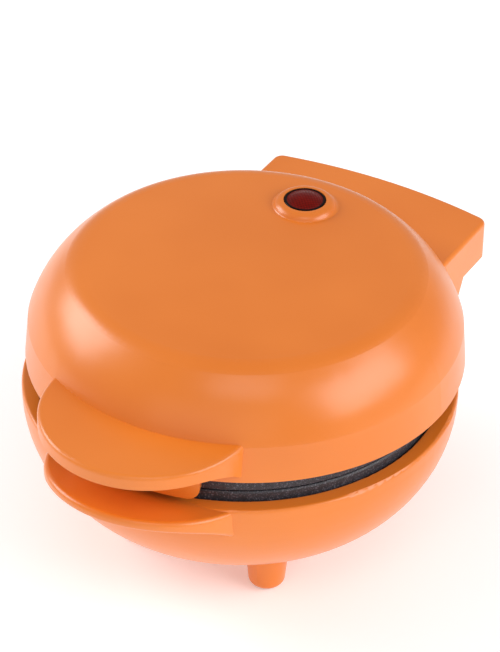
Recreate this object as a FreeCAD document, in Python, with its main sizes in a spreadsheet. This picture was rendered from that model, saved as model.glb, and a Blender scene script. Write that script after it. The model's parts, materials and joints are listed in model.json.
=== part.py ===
import FreeCAD, Part
import math
import os
import Sketcher
from FreeCAD import Placement, Rotation, Vector
from types import SimpleNamespace

# Mini donut maker. +Z up, the grips face -Y and the hinge is at +Y.
# The origin is on the resting plane, under the middle of the outline.
# Lengths are in millimetres, angles in degrees.

drivingSizes = (
    # cover and bowl
    ("coverRadius", 63.4, "radius of the cover at its rim"),
    ("coverHeight", 29.3, "height of the disc's edge above the cover's rim"),
    ("coverSetback", 2.7, "how far the cover sits behind the bowl"),
    ("crownRise", 1.0, "how far the disc swells above its edge"),
    ("shoulderWidth", 14.2, "width of the shoulder round the disc"),
    ("shoulderArc", 35.4, "radius of the shoulder's curve"),
    ("discRound", 8.0, "rounding between disc and shoulder"),
    ("bandLean", 0.95, "how far the rim band leans in"),
    ("bandHeight", 11.2, "height of the rim band"),
    ("bowlStep", 0.2, "how much smaller the bowl's radius is than the cover's"),
    ("bowlDepth", 36.2, "height of the bowl"),
    ("bowlTurn", 24.2, "width of the bowl's curve in plan"),
    ("bowlBand", 1.9, "height of the straight band at the bowl's rim"),
    ("rimRound", 0.9, "rounding of the bowl's rim"),
    ("lipPlay", 0.6, "gap between the bowl's inner lip and the lower plate"),
    ("lipRound", 0.5, "rounding of the bowl's inner lip"),
    ("floorHeight", 15.5, "height of the bowl's underside"),
    ("shellGap", 8.3, "height of the gap between the closed shells"),
    ("wall", 2.4, "thickness of both housings"),
    # feet
    ("footCircle", 32.1, "distance of each foot from the axis"),
    ("footRoot", 6.65, "radius of a foot at the bowl"),
    ("footTip", 5.4, "radius of a foot above its rounding"),
    ("footRound", 2.3, "rounding of a foot's tip"),
    ("footWall", 1.8, "wall of a foot round its hollow"),
    ("footSole", 4.0, "thickness of a foot's tip"),
    ("padEdge", 0.2, "margin between a foot pad and the foot's rounding"),
    ("padDepth", 1.4, "how deep a foot pad is set in"),
    ("padProud", 0.5, "how far a foot pad stands out"),
    # grips
    ("gripRadius", 30.5, "radius of both grips in plan"),
    ("upperGripOut", 20.8, "how far the upper grip stands out from the cover"),
    ("lowerGripOut", 15.8, "how far the lower grip stands out from the bowl"),
    ("upperGripRise", 12.0, "height of the upper grip's top above the cover's rim"),
    ("upperGripEdge", 4.3, "thickness of the upper grip's front edge"),
    ("upperGripArc", 25.8, "radius of the hollow under the upper grip"),
    ("lowerGripRise", 4.0, "height of the lower grip's front above the bowl's rim"),
    ("lowerGripDip", 0.8, "depth of the lower grip's root below the bowl's rim"),
    ("lowerGripEdge", 3.2, "thickness of the lower grip's front edge"),
    ("lowerGripDeep", 9.5, "depth of the lower grip's underside at the bowl"),
    ("lowerGripArc", 52.0, "radius of the hollow under the lower grip"),
    ("gripRoot", 9.0, "how far a grip's root reaches into its housing"),
    ("trimRoom", 20.0, "margin of a trimming outline outside a grip"),
    ("gripRound", 1.3, "rounding of the grips' edges"),
    ("tongueAngle", 38.0, "angle that the tongue under the upper grip spans"),
    ("tongueDrop", 5.2, "how far the tongue hangs below the cover's rim"),
    ("tonguePlay", 3.0, "gap between the tongue and the lower plate's edge"),
    ("tongueRound", 3.8, "rounding of the tongue's corners"),
    # hinge
    ("hingeDrop", 0.2, "depth of the hinge axis below the bowl's rim"),
    ("hingeInset", 1.2, "distance of the hinge axis inside the bowl's radius"),
    ("knuckleRadius", 5.2, "radius of the hinge knuckles"),
    ("lugInner", 26.0, "inner face of each lug on the bowl"),
    ("lugWidth", 4.9, "width of each lug on the bowl"),
    ("hingePlay", 0.4, "side play between lug and leg"),
    ("legWidth", 5.0, "width of each leg on the cover"),
    ("legLean", 28.7, "lean of the legs' rear face"),
    ("blockOut", 19.6, "how far the block's rear corners stand out from the cover"),
    ("blockSwell", 4.1, "how far the block's rear face swells"),
    ("blockRise", 9.6, "height of the block's top above the cover's rim"),
    ("blockPlay", 0.5, "gap between the block and the knuckles below it"),
    ("blockCorner", 3.2, "rounding of the block's upright corners"),
    ("blockRound", 1.3, "rounding of the block's top edge"),
    ("pinRadius", 1.5, "radius of the hinge pins"),
    ("pinPlay", 0.05, "radial play of a pin in its lug"),
    ("pinGrip", 3.6, "depth of a pin in its leg"),
    # indicator
    ("lensReach", 33.7, "distance of the lens behind the cover's axis"),
    ("lensRadius", 6.1, "radius of the lens"),
    ("lensPlay", 0.15, "gap around the lens"),
    ("lensEdge", 1.9, "height of the lens's edge above the disc"),
    ("lensDome", 3.5, "height of the lens's crown above the disc"),
    ("collarLip", 0.75, "width of the collar's flat crest"),
    ("collarSlope", 2.1, "width of the collar's rounded side"),
    ("collarRise", 2.1, "height of the collar round the lens"),
    ("collarArc", 2.9, "radius of the collar's rounded side"),
    ("collarFoot", 1.2, "width of the hollow at the collar's foot"),
    ("barrelDrop", 9.5, "length of the lens barrel below the disc's edge"),
    ("barrelWall", 1.3, "wall of the lens barrel"),
    ("lampRadius", 2.8, "radius of the lamp's glass"),
    ("lampStraight", 4.0, "length of the lamp's glass below its round tip"),
    ("plugThick", 2.4, "thickness of the lamp's plug"),
    ("clipThick", 1.5, "thickness of the clip that holds the lens"),
    ("clipWidth", 2.6, "width of the clip that holds the lens"),
    ("resistorRadius", 1.3, "radius of the lamp's resistor"),
    ("resistorLength", 7.0, "length of the lamp's resistor"),
    # baking plates
    ("partingRise", 2.7, "height of the joint between the plates above the bowl's rim"),
    ("partingGap", 0.4, "gap between the closed plates"),
    ("plateInset", 5.5, "how much smaller the plates' radius is than the cover's"),
    ("plateRim", 3.0, "width of the raised edge of a plate"),
    ("plateEdge", 0.4, "bevel of a plate's outer edge"),
    ("plateSink", 0.8, "how far a plate's web lies below its edge"),
    ("plateWeb", 2.4, "thickness of a plate's web and troughs"),
    ("plateSkirt", 9.0, "height of a plate's outer wall"),
    ("ringCircle", 32.0, "distance of each donut from the axis"),
    ("ringRadius", 13.2, "radius of a donut's centre line"),
    ("ringTube", 8.4, "radius of a donut's section"),
    ("bossWall", 1.0, "how much wider a screw boss is than its post"),
    ("hubWall", 3.9, "wall of a plate's hub round the clamp's screw"),
    ("screwRadius", 1.5, "shank radius of all inner screws"),
    ("screwHead", 2.9, "head radius of all inner screws"),
    ("screwPlay", 0.15, "radial play of a screw in a plate"),
    ("threadPlay", 0.03, "radial play of a screw in a post"),
    ("screwGrip", 9.0, "length of a screw inside its post"),
    ("pilotRest", 2.0, "length of a screw hole past the screw"),
    ("capHead", 1.8, "height of the clamp screw's head"),
    ("postRadius", 3.4, "radius of the screw posts"),
    ("postPlay", 1.0, "gap between a screw post and the reflector"),
    # heaters
    ("heaterTube", 3.25, "radius of the heater's tube"),
    ("heaterGap", 36.0, "angle left open between the heater's ends"),
    ("heaterBend", 5.0, "radius of the bend at a heater's ends"),
    ("coldEnd", 4.5, "length of a heater's upright end"),
    ("terminalLength", 4.5, "length of a heater's terminal pin"),
    ("terminalRadius", 1.2, "radius of a heater's terminal pin"),
    ("seatEdge", 0.75, "how much wider the heater's seat is than its tube"),
    ("seatDrop", 12.2, "depth of the heater's seat below the plate's face"),
    ("clampThick", 1.5, "thickness of the heater clamp"),
    ("clampWidth", 9.0, "width of the heater clamp's arms"),
    ("clampReach", 2.5, "how far the clamp's arms reach past the heater's ring"),
    ("reflectorThick", 0.6, "thickness of the reflectors"),
    ("reflectorEdge", 0.35, "how much wider the reflectors are than the heater"),
    ("reflectorRim", 2.6, "height of the reflectors' rim"),
    ("notchPlay", 1.0, "gap between a reflector and the heater's ends"),
    # control parts
    ("glandAngle", 45.0, "turn of the cord gland from the rear"),
    ("glandHeight", 31.0, "height of the cord gland"),
    ("glandBore", 3.3, "radius of the gland's bore"),
    ("glandWall", 1.6, "wall of the gland's barrel"),
    ("glandRim", 2.0, "how much wider the gland's flange is than its barrel"),
    ("glandLip", 1.2, "how much wider the gland's boss is than its flange"),
    ("glandStand", 0.8, "how far the gland's boss stands out of the bowl"),
    ("glandSeat", 1.2, "how far the gland's boss stands into the bowl"),
    ("glandInner", 1.6, "thickness of the gland's inner flange"),
    ("glandOuter", 2.0, "thickness of the gland's outer flange"),
    ("thermostatReach", 18.0, "distance of the thermostat from the axis"),
    ("thermostatRadius", 8.0, "radius of the thermostat's body"),
    ("thermostatDrop", 6.0, "height of the thermostat's body"),
    ("thermostatCap", 2.2, "height of the thermostat's cap"),
    ("bladeWidth", 6.3, "width of the thermostat's blades"),
    ("bladeLength", 4.8, "length of the thermostat's blades"),
    ("fuseReach", 17.0, "distance of the thermal fuse from the axis"),
    ("fuseRadius", 2.0, "radius of the thermal fuse"),
    ("fuseLength", 12.0, "length of the thermal fuse"),
    ("sleeveWall", 0.7, "wall of the sleeve on the fuse"),
    ("sleeveLength", 30.0, "length of the sleeve on the fuse"),
    ("strapThick", 0.8, "thickness of the strap round the sleeve"),
    ("strapWidth", 6.0, "width of the strap round the sleeve"),
    ("strapFoot", 5.0, "length of each foot of the strap"),
    ("terminalsReach", 19.0, "distance of the terminal block behind the axis"),
    ("terminalsWidth", 13.0, "width of the terminal block"),
    ("terminalsHeight", 11.0, "height of the terminal block"),
    ("terminalPitch", 8.0, "distance between the terminal block's screws"),
    ("terminalScrew", 2.3, "radius of the terminal block's screws"),
    ("wireWay", 1.6, "radius of the wire holes through the terminal block"),
    ("seatGap", 0.1, "gap between a loose inner part and its seat"),
    ("wireRadius", 0.5, "radius of bare wires"),
)


class Size:
    """A number together with the sheet formula that gives it."""

    def __init__(self, formula, value):
        self.formula = formula
        self.value = value

    def __add__(self, other):
        other = asSize(other)
        return Size(f"({self.formula} + {other.formula})", self.value + other.value)

    def __sub__(self, other):
        other = asSize(other)
        return Size(f"({self.formula} - {other.formula})", self.value - other.value)

    def __mul__(self, other):
        other = asSize(other)
        return Size(f"({self.formula} * {other.formula})", self.value * other.value)

    def __truediv__(self, other):
        other = asSize(other)
        return Size(f"({self.formula} / {other.formula})", self.value / other.value)

    def __radd__(self, other):
        return asSize(other) + self

    def __rsub__(self, other):
        return asSize(other) - self

    def __rmul__(self, other):
        return asSize(other) * self

    def __neg__(self):
        return asSize(-1) * self


def asSize(number):
    if isinstance(number, Size):
        return number
    return Size(f"({number})", float(number))


def root(size):
    return Size(f"sqrt({size.formula})", math.sqrt(size.value))


def sine(degrees):
    return Size(f"sin({degrees.formula} * 1 deg)", math.sin(math.radians(degrees.value)))


def cosine(degrees):
    return Size(f"cos({degrees.formula} * 1 deg)", math.cos(math.radians(degrees.value)))


document = FreeCAD.newDocument("DonutMaker")
sheet = document.addObject("Spreadsheet::Sheet", "Dims")
dims = SimpleNamespace()
for row, (alias, value, note) in enumerate(drivingSizes, start=1):
    sheet.set(f"A{row}", alias)
    sheet.set(f"B{row}", str(value))
    sheet.set(f"C{row}", note)
    sheet.setAlias(f"B{row}", alias)
    setattr(dims, alias, Size(f"Dims.{alias}", value))
document.recompute()

# sizes that follow from the driving ones

dims.creaseRadius = dims.coverRadius - dims.bandLean
dims.discRadius = dims.coverRadius - dims.shoulderWidth
dims.bowlRadius = dims.coverRadius - dims.bowlStep
dims.bowlRim = dims.floorHeight + dims.bowlDepth
dims.coverRim = dims.bowlRim + dims.shellGap
dims.creaseHeight = dims.coverRim + dims.bandHeight
dims.coverTop = dims.coverRim + dims.coverHeight
bandLow = dims.bowlRim - dims.bowlBand
curveDepth = bandLow - dims.floorHeight
dims.bowlArc = (dims.bowlTurn * dims.bowlTurn + curveDepth * curveDepth) / (2 * dims.bowlTurn)
bowlArcX = dims.bowlRadius - dims.bowlArc
dims.footCore = dims.footTip - dims.footWall
dims.padRadius = dims.footTip - dims.footRound - dims.padEdge
dims.upperReach = dims.coverRadius + dims.upperGripOut
dims.lowerReach = dims.bowlRadius + dims.lowerGripOut
dims.upperGripTop = dims.coverRim + dims.upperGripRise
dims.lowerGripTip = dims.bowlRim + dims.lowerGripRise
dims.lowerGripRoot = dims.bowlRim - dims.lowerGripDip
dims.lowerGripBase = dims.bowlRim - dims.lowerGripDeep
dims.hingeHeight = dims.bowlRim - dims.hingeDrop
dims.hingeReach = dims.bowlRadius - dims.hingeInset
dims.lugOuter = dims.lugInner + dims.lugWidth
dims.blockHalf = dims.lugOuter + dims.hingePlay + dims.legWidth
dims.blockReach = dims.coverRadius + dims.blockOut
dims.blockTop = dims.coverRim + dims.blockRise
dims.partingHeight = dims.bowlRim + dims.partingRise
dims.plateRadius = dims.coverRadius - dims.plateInset
dims.seatHalf = dims.heaterTube + dims.seatEdge
dims.reflectorRadius = dims.ringCircle + dims.heaterTube + dims.reflectorEdge
dims.screwCircle = dims.reflectorRadius + dims.postRadius + dims.postPlay
dims.glandBarrel = dims.glandBore + dims.glandWall
dims.glandFlange = dims.glandBarrel + dims.glandRim


def bowlReach(height, depth):
    """Distance of the bowl's wall from its axis at a height, at a depth inside its outer face."""
    drop = bandLow - height
    arc = dims.bowlArc - depth
    return bowlArcX + root(arc * arc - drop * drop)


dims.glandBossOut = bowlReach(dims.glandHeight + dims.glandFlange, asSize(0)) + dims.glandStand
dims.glandBossIn = bowlReach(dims.glandHeight - dims.glandBarrel - dims.glandRim, dims.wall) - dims.glandSeat

# places that several sub-parts share

frontReach = dims.upperReach - dims.coverSetback
rearReach = dims.blockReach + dims.blockSwell + dims.coverSetback
bowlAxisY = (frontReach - rearReach) / 2
coverAxisY = bowlAxisY + dims.coverSetback
lowerFace = dims.partingHeight - dims.partingGap / 2
upperFace = dims.partingHeight + dims.partingGap / 2
heaterDepth = dims.seatDrop + dims.heaterTube + dims.seatGap
clampDepth = heaterDepth + dims.heaterTube + dims.seatGap
reflectorDepth = clampDepth + dims.clampThick + dims.seatGap
reflectorBack = reflectorDepth + dims.reflectorThick
legInner = dims.lugOuter + dims.hingePlay
blockBottom = dims.hingeHeight + dims.knuckleRadius + dims.blockPlay
blockDepth = dims.blockTop - blockBottom
floorInside = dims.floorHeight + dims.wall
hingeFromCover = dims.hingeReach - dims.coverSetback
lensCrown = dims.crownRise * (1 - dims.lensReach * dims.lensReach / (dims.discRadius * dims.discRadius))
lensBase = dims.coverTop + lensCrown
bowlAxis = (asSize(0), bowlAxisY, asSize(0))
coverAxis = (asSize(0), coverAxisY, asSize(0))

subParts = []


# helpers

def bind(item, path, size):
    item.setExpression(path, asSize(size).formula)


def place(item, base, turnAxis=None, turn=0):
    """Puts an object at a bound place, turned by a fixed angle about an axis."""
    if turnAxis is not None:
        item.Placement = Placement(Vector(0, 0, 0), Rotation(Vector(*turnAxis), turn))
    for letter, size in zip("xyz", base):
        bind(item, f"Placement.Base.{letter}", size)
    return item


def subPart(item, label, base=None, turnAxis=None, turn=0):
    """Names a finished sub-part and puts it in its place."""
    item.Label = label
    if base is not None:
        place(item, base, turnAxis, turn)
    subParts.append(item)
    return item


def newBody(name):
    body = document.addObject("PartDesign::Body", name + "Body")
    body.AllowCompound = True
    return body


def originFeature(body, role):
    return [item for item in body.Origin.OriginFeatures if item.Role == role][0]


def newSketch(body, role, shift=(0, 0, 0)):
    """A sketch on one of the body's origin planes, shifted in the plane's own axes."""
    sketch = body.newObject("Sketcher::SketchObject", "Sketch")
    sketch.AttachmentSupport = [(originFeature(body, role), "")]
    sketch.MapMode = "FlatFace"
    for letter, size in zip("xyz", shift):
        bind(sketch, f"AttachmentOffset.Base.{letter}", size)
    return sketch


def pin(sketch, geometry, point, x, y):
    """Fixes one sketch point at bound coordinates."""
    for kind, size in (("DistanceX", x), ("DistanceY", y)):
        size = asSize(size)
        index = sketch.addConstraint(Sketcher.Constraint(kind, -1, 1, geometry, point, size.value))
        sketch.setExpression(f"Constraints[{index}]", size.formula)


def arcCentre(start, end, radius):
    """Centre of the short arc from start to end, to the left of the chord when radius is positive."""
    chord = end - start
    half = chord.Length / 2
    height = math.sqrt(max(radius * radius - half * half, 0))
    left = Vector(-chord.y, chord.x, 0).normalize()
    return (start + end) / 2 + left * math.copysign(height, radius)


def outline(sketch, corners, arcs=None):
    """A closed outline through the corners. arcs gives the signed radius of the edge after a corner."""
    arcs = arcs or {}
    count = len(corners)
    points = [Vector(asSize(x).value, asSize(y).value, 0) for x, y in corners]
    for index, (x, y) in enumerate(corners):
        start = points[index]
        end = points[(index + 1) % count]
        follow = corners[(index + 1) % count]
        if index in arcs:
            radius = asSize(arcs[index])
            centre = arcCentre(start, end, radius.value)
            forward = radius.value > 0
            first, last = (start, end) if forward else (end, start)
            circle = Part.Circle(centre, Vector(0, 0, 1), abs(radius.value))
            edge = Part.ArcOfCircle(circle, math.atan2(first.y - centre.y, first.x - centre.x),
                                    math.atan2(last.y - centre.y, last.x - centre.x))
            geometry = sketch.addGeometry(edge, False)
            startPoint, endPoint = (1, 2) if forward else (2, 1)
            size = radius if forward else -radius
            bound = sketch.addConstraint(Sketcher.Constraint("Radius", geometry, size.value))
            sketch.setExpression(f"Constraints[{bound}]", size.formula)
        else:
            geometry = sketch.addGeometry(Part.LineSegment(start, end), False)
            startPoint, endPoint = 1, 2
        pin(sketch, geometry, startPoint, x, y)
        pin(sketch, geometry, endPoint, follow[0], follow[1])


def circleIn(sketch, x, y, radius):
    radius = asSize(radius)
    centre = Vector(asSize(x).value, asSize(y).value, 0)
    geometry = sketch.addGeometry(Part.Circle(centre, Vector(0, 0, 1), radius.value), False)
    bound = sketch.addConstraint(Sketcher.Constraint("Radius", geometry, radius.value))
    sketch.setExpression(f"Constraints[{bound}]", radius.formula)
    pin(sketch, geometry, 3, x, y)


def volumeOf(body):
    document.recompute()
    return body.Shape.Volume


def feature(body, kind, sketch):
    """A sketched feature; a cut that takes nothing away is turned round once, then refused."""
    before = volumeOf(body) if body.Tip else 0
    item = body.newObject("PartDesign::" + kind, kind)
    item.Profile = sketch
    return item, before


def checkCut(body, item, before):
    if before - volumeOf(body) < before * 1e-9:
        item.Reversed = not item.Reversed
        if before - volumeOf(body) < before * 1e-9:
            raise RuntimeError(f"{item.Name} cuts nothing")


def revolve(body, sketch, cut=False, angle=360):
    item, before = feature(body, "Groove" if cut else "Revolution", sketch)
    item.ReferenceAxis = (sketch, ["V_Axis"])
    bind(item, "Angle", angle)
    if cut:
        checkCut(body, item, before)
    return item


def pad(body, sketch, length, side="One side", back=False):
    item, before = feature(body, "Pad", sketch)
    bind(item, "Length", length)
    item.SideType = side
    item.Reversed = back
    return item


def pocket(body, sketch, length=None, side="One side"):
    item, before = feature(body, "Pocket", sketch)
    item.SideType = side
    if length is None:
        item.Type = "ThroughAll"
    else:
        bind(item, "Length", length)
    checkCut(body, item, before)
    return item


def roundEdges(body, picked, radius):
    """Rounds the edges of the present tip that picked accepts."""
    document.recompute()
    base = body.Tip
    names = [f"Edge{number}" for number, edge in enumerate(base.Shape.Edges, start=1) if picked(edge)]
    if not names:
        raise RuntimeError(f"{body.Name} has no edge to round")
    item = body.newObject("PartDesign::Fillet", "Fillet")
    item.Base = (base, names)
    bind(item, "Radius", radius)
    return item


def aroundAxis(body, originals, count):
    """Repeats features evenly about the body's own Z axis."""
    item = body.newObject("PartDesign::PolarPattern", "PolarPattern")
    item.Originals = originals
    item.Axis = (originFeature(body, "Z_Axis"), [""])
    item.Angle = 360
    item.Occurrences = count
    body.Tip = item
    return item


def mirrored(body, originals):
    """Repeats features on the other side of the body's YZ plane."""
    item = body.newObject("PartDesign::Mirrored", "Mirrored")
    item.Originals = originals
    item.MirrorPlane = (originFeature(body, "YZ_Plane"), [""])
    body.Tip = item
    return item


def cylinder(radius, height, base=(0, 0, 0), turnAxis=None, turn=0):
    item = document.addObject("Part::Cylinder", "Cylinder")
    bind(item, "Radius", radius)
    bind(item, "Height", height)
    return place(item, [asSize(size) for size in base], turnAxis, turn)


def cone(lowRadius, highRadius, height, base=(0, 0, 0)):
    item = document.addObject("Part::Cone", "Cone")
    bind(item, "Radius1", lowRadius)
    bind(item, "Radius2", highRadius)
    bind(item, "Height", height)
    return place(item, [asSize(size) for size in base])


def block(length, width, height, base=(0, 0, 0)):
    """A box centred on its base in X and Y, standing on it in Z."""
    item = document.addObject("Part::Box", "Box")
    length, width = asSize(length), asSize(width)
    bind(item, "Length", length)
    bind(item, "Width", width)
    bind(item, "Height", height)
    x, y, z = base
    return place(item, (x - length / 2, y - width / 2, asSize(z)))


def torus(radius, tube, base=(0, 0, 0)):
    item = document.addObject("Part::Torus", "Torus")
    bind(item, "Radius1", radius)
    bind(item, "Radius2", tube)
    return place(item, [asSize(size) for size in base])


def join(items):
    item = document.addObject("Part::MultiFuse", "Fuse")
    item.Shapes = items
    item.Refine = True
    return item


def cutAway(base, tool):
    item = document.addObject("Part::Cut", "Cut")
    item.Base = base
    item.Tool = tool
    return item


def group(items):
    item = document.addObject("Part::Compound", "Group")
    item.Links = items
    return item


def quarterPlaces(radius, offset=45):
    """Four places round the axis, as bound x and y."""
    places = []
    for quarter in range(4):
        angle = math.radians(offset + 90 * quarter)
        places.append((radius * round(math.cos(angle), 9), radius * round(math.sin(angle), 9)))
    return places


# housings

def gripEdge(reach, low, high):
    """Accepts the curved edges round a grip's front, between two heights."""
    centre = dims.gripRadius.value - reach.value

    def picked(edge):
        middle = edge.valueAt((edge.FirstParameter + edge.LastParameter) / 2)
        onArc = abs(math.hypot(middle.x, middle.y - centre) - dims.gripRadius.value) < 0.01
        inFront = middle.y < centre - 1
        return onArc and inFront and low < middle.z < high and edge.Length > dims.gripRadius.value
    return picked


def grip(body, reach, sideCorners, sideArcs):
    """A grip: its side view extruded across, then trimmed to a half round in plan."""
    width = 2 * dims.gripRadius
    sketch = newSketch(body, "YZ_Plane")
    outline(sketch, sideCorners, sideArcs)
    pad(body, sketch, width, "Symmetric")
    centreY = dims.gripRadius - reach
    farSide = dims.gripRadius + dims.trimRoom
    rearEnd = centreY + dims.gripRadius
    frontEnd = -reach - dims.trimRoom
    trim = newSketch(body, "XY_Plane")
    outline(trim, ((-farSide, rearEnd), (-farSide, frontEnd), (farSide, frontEnd), (farSide, rearEnd),
                   (dims.gripRadius, rearEnd), (dims.gripRadius, centreY), (0, -reach),
                   (-dims.gripRadius, centreY), (-dims.gripRadius, rearEnd)),
            {5: -dims.gripRadius, 6: -dims.gripRadius})
    pocket(body, trim, None, "Symmetric")


def makeLowerHousing():
    body = newBody("LowerHousing")
    # grip
    rootY = dims.gripRoot - dims.bowlRadius
    tipY = -dims.lowerReach
    edgeLow = dims.lowerGripTip - dims.lowerGripEdge
    grip(body, dims.lowerReach,
         ((rootY, dims.lowerGripRoot), (rootY, dims.lowerGripBase - 2), (rootY - 1, dims.lowerGripBase),
          (tipY, edgeLow), (tipY, dims.lowerGripTip)),
         {2: dims.lowerGripArc})
    # hinge lugs
    knuckle = dims.knuckleRadius
    leanBack = knuckle * cosine(dims.legLean)
    leanDown = knuckle * sine(dims.legLean)
    lugRoot = dims.bowlRadius - 12
    lug = newSketch(body, "YZ_Plane", (0, 0, dims.lugInner))
    lugFront = dims.hingeReach - knuckle
    outline(lug, ((lugRoot, dims.bowlRim - 1.5), (lugFront, dims.bowlRim - 1.5), (lugFront, dims.hingeHeight),
                  (dims.hingeReach, dims.hingeHeight + knuckle),
                  (dims.hingeReach + leanBack, dims.hingeHeight - leanDown),
                  (lugRoot, dims.hingeHeight - 16)), {2: -knuckle, 3: -knuckle})
    lugPad = pad(body, lug, dims.lugOuter - dims.lugInner)
    pinHole = newSketch(body, "YZ_Plane", (0, 0, dims.lugInner - 1))
    circleIn(pinHole, dims.hingeReach, dims.hingeHeight, dims.pinRadius + dims.pinPlay)
    pinCut = pocket(body, pinHole, -2 + dims.lugOuter - dims.lugInner + 4)
    mirrored(body, [lugPad, pinCut])
    # bowl
    floorX = dims.bowlRadius - dims.bowlTurn
    bowl = newSketch(body, "XZ_Plane")
    outline(bowl, ((0, dims.floorHeight), (floorX, dims.floorHeight), (dims.bowlRadius, bandLow),
                   (dims.bowlRadius, dims.bowlRim - dims.rimRound),
                   (dims.bowlRadius - dims.rimRound, dims.bowlRim), (0, dims.bowlRim)),
            {1: dims.bowlArc, 3: dims.rimRound})
    revolve(body, bowl)
    # boss for the cord gland
    boss = body.newObject("PartDesign::AdditiveCylinder", "GlandBoss")
    bind(boss, "Radius", dims.glandFlange + dims.glandLip)
    bind(boss, "Height", dims.glandBossOut - dims.glandBossIn)
    alongGland(boss, dims.glandBossIn)
    # hollow
    hollow = newSketch(body, "XZ_Plane")
    above = dims.bowlRim + dims.shellGap
    lip = dims.plateRadius + dims.lipPlay
    outline(hollow, ((0, floorInside), (bowlReach(floorInside, dims.wall), floorInside),
                     (dims.bowlRadius - dims.wall, bandLow), (lip, bandLow),
                     (lip, dims.bowlRim - dims.lipRound), (lip + dims.lipRound, dims.bowlRim),
                     (lip + dims.lipRound, above), (0, above)),
            {1: dims.bowlArc - dims.wall, 4: -dims.lipRound})
    revolve(body, hollow, cut=True)
    # inner end of the gland boss
    inside = body.newObject("PartDesign::AdditiveCylinder", "GlandSeat")
    bind(inside, "Radius", dims.glandFlange + dims.glandLip)
    bind(inside, "Height", dims.wall + 3)
    alongGland(inside, dims.glandBossIn)
    glandHole = body.newObject("PartDesign::SubtractiveCylinder", "GlandHole")
    bind(glandHole, "Radius", dims.glandBarrel + dims.seatGap)
    bind(glandHole, "Height", dims.glandBossOut - dims.glandBossIn + 4)
    alongGland(glandHole, dims.glandBossIn - 2)
    # feet
    footX, footY = quarterPlaces(dims.footCircle)[0]
    foot = newSketch(body, "XZ_Plane", (footX, 0, -footY))
    outline(foot, ((0, dims.padProud), (dims.footTip - dims.footRound, dims.padProud),
                   (dims.footTip, dims.padProud + dims.footRound),
                   (dims.footRoot, dims.floorHeight + dims.wall / 2), (0, dims.floorHeight + dims.wall / 2)),
            {1: dims.footRound})
    footBody = revolve(body, foot)
    core = newSketch(body, "XZ_Plane", (footX, 0, -footY))
    outline(core, ((0, dims.padProud + dims.footSole), (dims.footCore - 0.6, dims.padProud + dims.footSole),
                   (dims.footCore, floorInside + 1), (0, floorInside + 1)))
    footHollow = revolve(body, core, cut=True)
    padSeat = newSketch(body, "XZ_Plane", (footX, 0, -footY))
    seatRadius = dims.padRadius + dims.seatGap
    seatTop = dims.padProud + dims.padDepth
    outline(padSeat, ((0, 0), (seatRadius, 0), (seatRadius, seatTop), (0, seatTop)))
    padCut = revolve(body, padSeat, cut=True)
    # screw posts
    postTop = lowerFace - dims.plateSkirt
    postX, postY = quarterPlaces(dims.screwCircle)[0]
    post = newSketch(body, "XY_Plane", (0, 0, floorInside - 0.2))
    circleIn(post, postX, postY, dims.postRadius)
    postPad = pad(body, post, postTop - floorInside + 0.2)
    pilot = newSketch(body, "XY_Plane", (0, 0, postTop))
    circleIn(pilot, postX, postY, dims.screwRadius + dims.threadPlay)
    pilotCut = pocket(body, pilot, dims.screwGrip + dims.pilotRest)
    aroundAxis(body, [footBody, footHollow, padCut, postPad, pilotCut], 4)
    roundEdges(body, gripEdge(dims.lowerReach, 0, 99), dims.gripRound)
    subPart(body, "lower_housing", bowlAxis)


def alongGland(item, distance):
    """Lays a cylinder along the cord gland's axis, starting at a distance from the bowl's axis."""
    item.Placement = Placement(Vector(0, 0, 0), Rotation(dims.glandAngle.value, 0, -90))
    bind(item, "Placement.Base.x", -asSize(distance) * sine(dims.glandAngle))
    bind(item, "Placement.Base.y", asSize(distance) * cosine(dims.glandAngle))
    bind(item, "Placement.Base.z", dims.glandHeight)
    return item


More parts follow.
